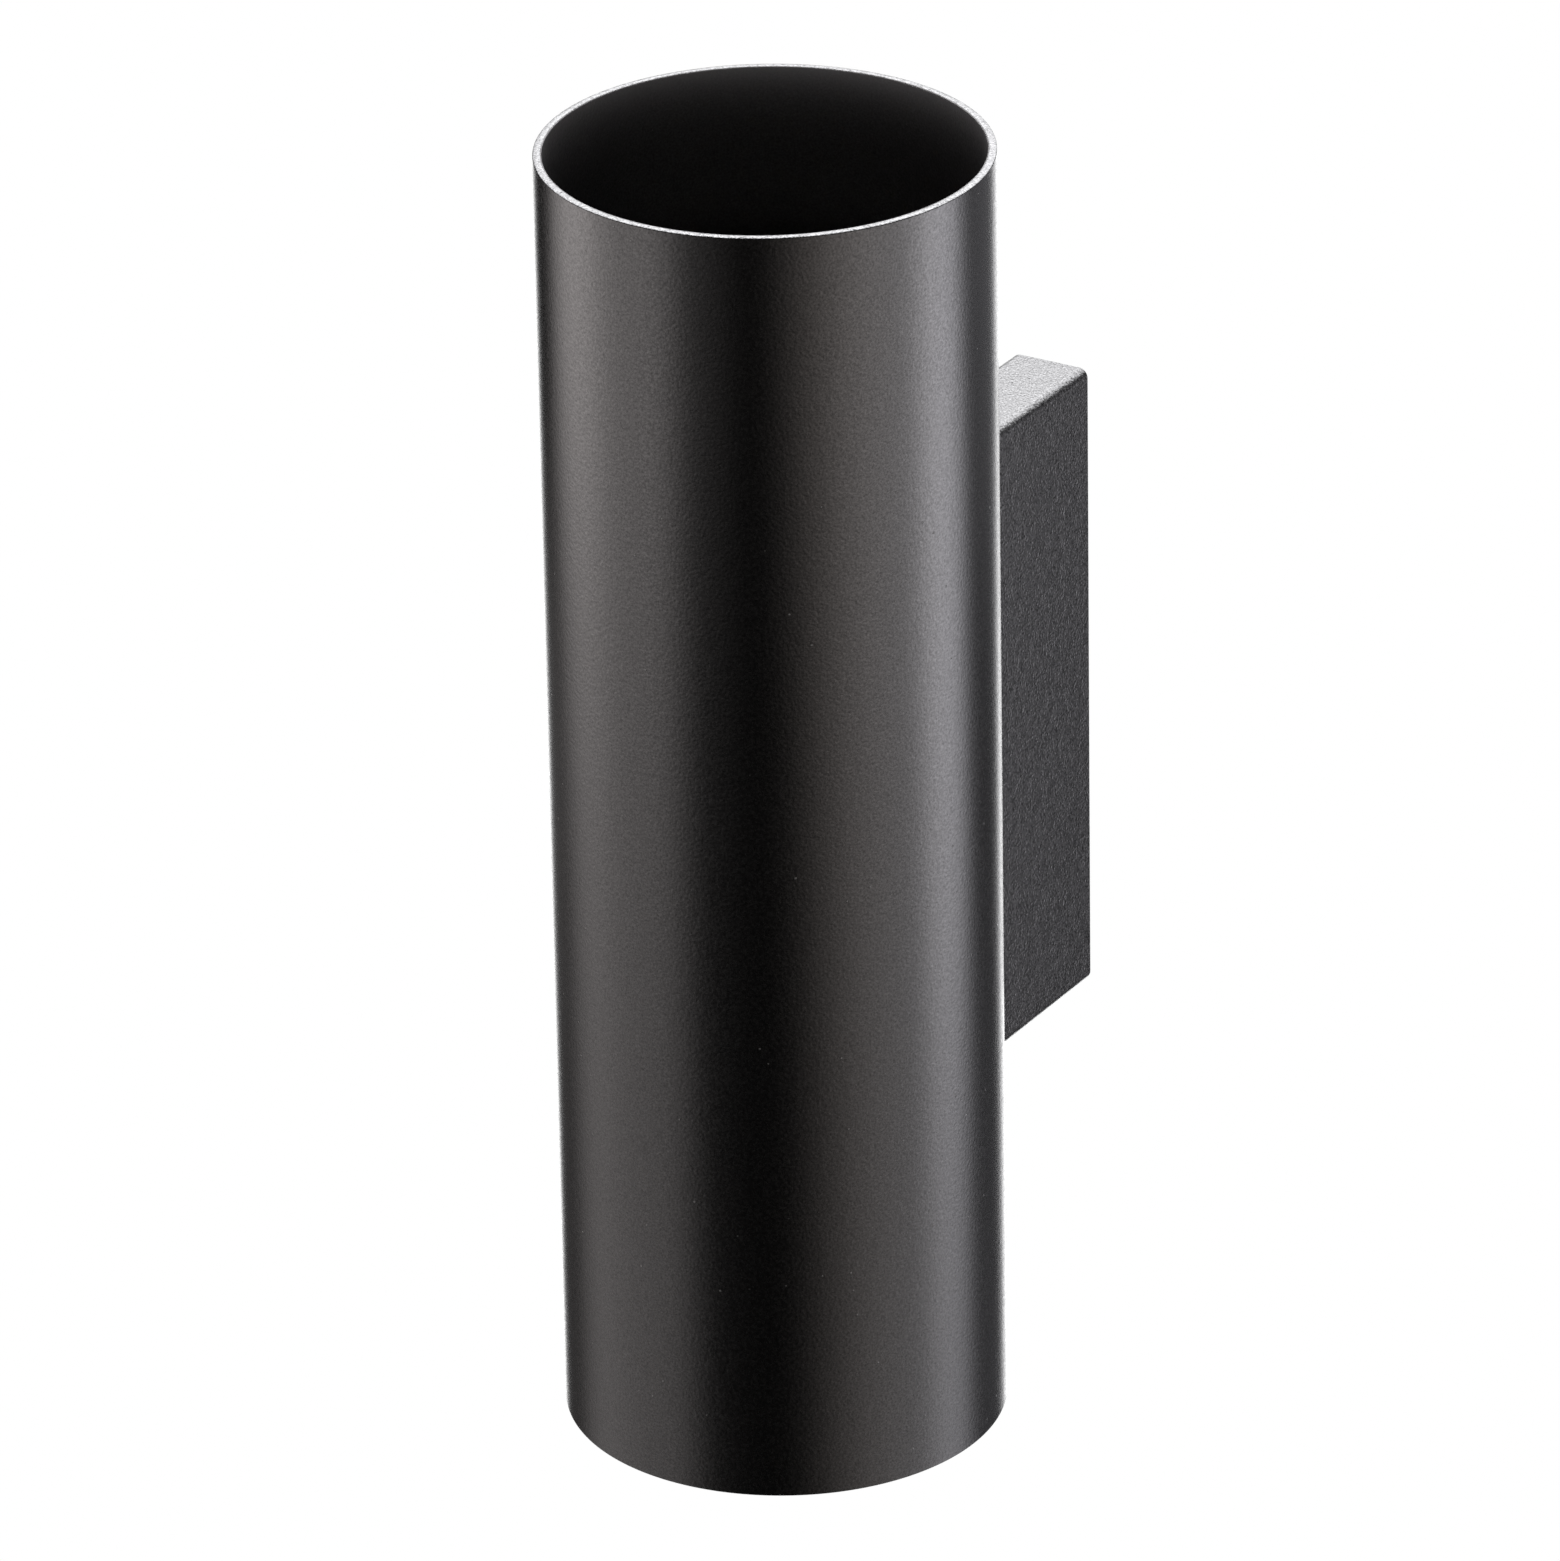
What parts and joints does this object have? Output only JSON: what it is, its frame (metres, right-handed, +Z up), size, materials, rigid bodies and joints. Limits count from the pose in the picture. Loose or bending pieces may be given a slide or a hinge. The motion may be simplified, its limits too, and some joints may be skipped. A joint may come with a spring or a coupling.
{
  "type": "tube wall light",
  "caption": "Slim upright tube wall light, open at both ends, held off the wall by a narrow box that hooks on a steel bracket; twist-lock reflector lamps shine up and down.",
  "frame": {"origin": "on the wall, in the middle of the box's back", "axes": "+Y into the wall, +Z up along the tube, the light stands out along -Y"},
  "size_m": [0.066, 0.1144, 0.2],
  "materials": {
    "tube_paint": "fine-textured matte black powder coat",
    "box_paint": "sand-textured matte black powder coat",
    "zinc_steel": "zinc-plated sheet steel",
    "steel_screw": "zinc-plated screw steel",
    "black_rubber": "matte black rubber",
    "ceramic": "unglazed white ceramic",
    "brass": "bare brass",
    "lamp_metal": "satin lacquered aluminium",
    "lamp_plastic": "white moulded plastic",
    "pin_metal": "nickel-plated",
    "led_board": "white board with a yellow emitter",
    "lens_glass": "clear prismatic lens",
    "terminal_plastic": "natural white plastic",
    "lead_sleeve": "silicone-insulated lead",
    "earth_sleeve": "green and yellow insulated lead"
  },
  "bodies": {
    "fixture": {"tube": "tube_paint", "wall_box": "box_paint", "wall_bracket": "zinc_steel", "wall_grommet": "black_rubber", "lock_screw": "steel_screw", "lamp_carrier": "zinc_steel", "carrier_screws": "steel_screw", "lead_bush": "black_rubber", "lampholder_upper": "ceramic", "lampholder_lower": "ceramic", "holder_contacts_upper": "brass", "holder_contacts_lower": "brass", "holder_screws_upper": "steel_screw", "holder_screws_lower": "steel_screw", "terminal_block": "terminal_plastic", "terminal_sleeves": "brass", "terminal_screws": "steel_screw", "terminal_block_screw": "steel_screw", "leads_upper": "lead_sleeve", "leads_lower": "lead_sleeve", "earth_lead": "earth_sleeve", "earth_lug": "pin_metal", "earth_screw": "brass"},
    "upper_lamp": {"lamp_shell_upper": "lamp_metal", "lamp_base_upper": "lamp_plastic", "lamp_pins_upper": "pin_metal", "led_board_upper": "led_board", "lamp_lens_upper": "lens_glass"},
    "lower_lamp": {"lamp_shell_lower": "lamp_metal", "lamp_base_lower": "lamp_plastic", "lamp_pins_lower": "pin_metal", "led_board_lower": "led_board", "lamp_lens_lower": "lens_glass"}
  },
  "joints": [
    {"name": "upper_lamp_twist", "type": "hinge", "parent": "fixture", "child": "upper_lamp", "pos_m": [0, -0.0814, 0.0862], "axis": [0, 0, 1], "range_deg": [0, 25]},
    {"name": "lower_lamp_twist", "type": "hinge", "parent": "fixture", "child": "lower_lamp", "pos_m": [0, -0.0814, -0.0578], "axis": [0, 0, -1], "range_deg": [0, 25]}
  ]
}
